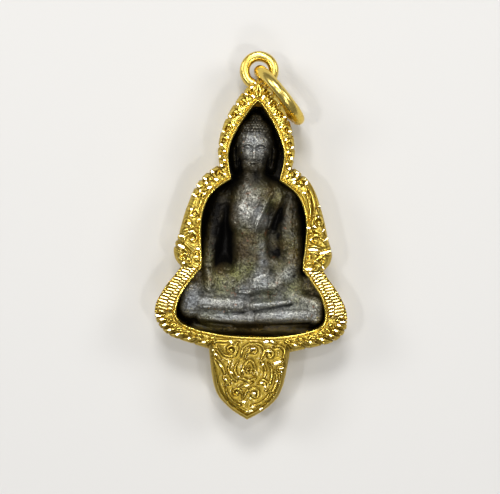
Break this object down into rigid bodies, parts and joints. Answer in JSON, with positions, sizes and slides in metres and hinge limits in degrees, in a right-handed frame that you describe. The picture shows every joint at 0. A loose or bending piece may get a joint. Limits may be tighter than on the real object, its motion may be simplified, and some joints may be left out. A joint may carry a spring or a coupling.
{
  "type": "amulet pendant",
  "caption": "Cast seated figure in a chased gold case with a hanging loop and a round bail ring.",
  "frame": {"origin": "middle of the length and the width, on the surface that the pendant's back rests on", "axes": "+X across the pendant, +Y from the tab's tip to the hanging loop, +Z out of its front"},
  "size_m": [0.0268, 0.0512, 0.0103],
  "materials": {
    "gold": "polished yellow gold with chased ornament",
    "dark_metal": "aged dark cast metal, worn brighter on the high points"
  },
  "bodies": {
    "pendant": {"case": "gold", "back_plate": "gold", "amulet": "dark_metal"},
    "ring": {"bail_ring": "gold"}
  },
  "joints": [
    {"name": "ring_swing", "type": "hinge", "parent": "pendant", "child": "ring", "pos_m": [0, 0.02292, 0.0046], "axis": [0, 0, 1], "range_deg": [0, 268]}
  ]
}
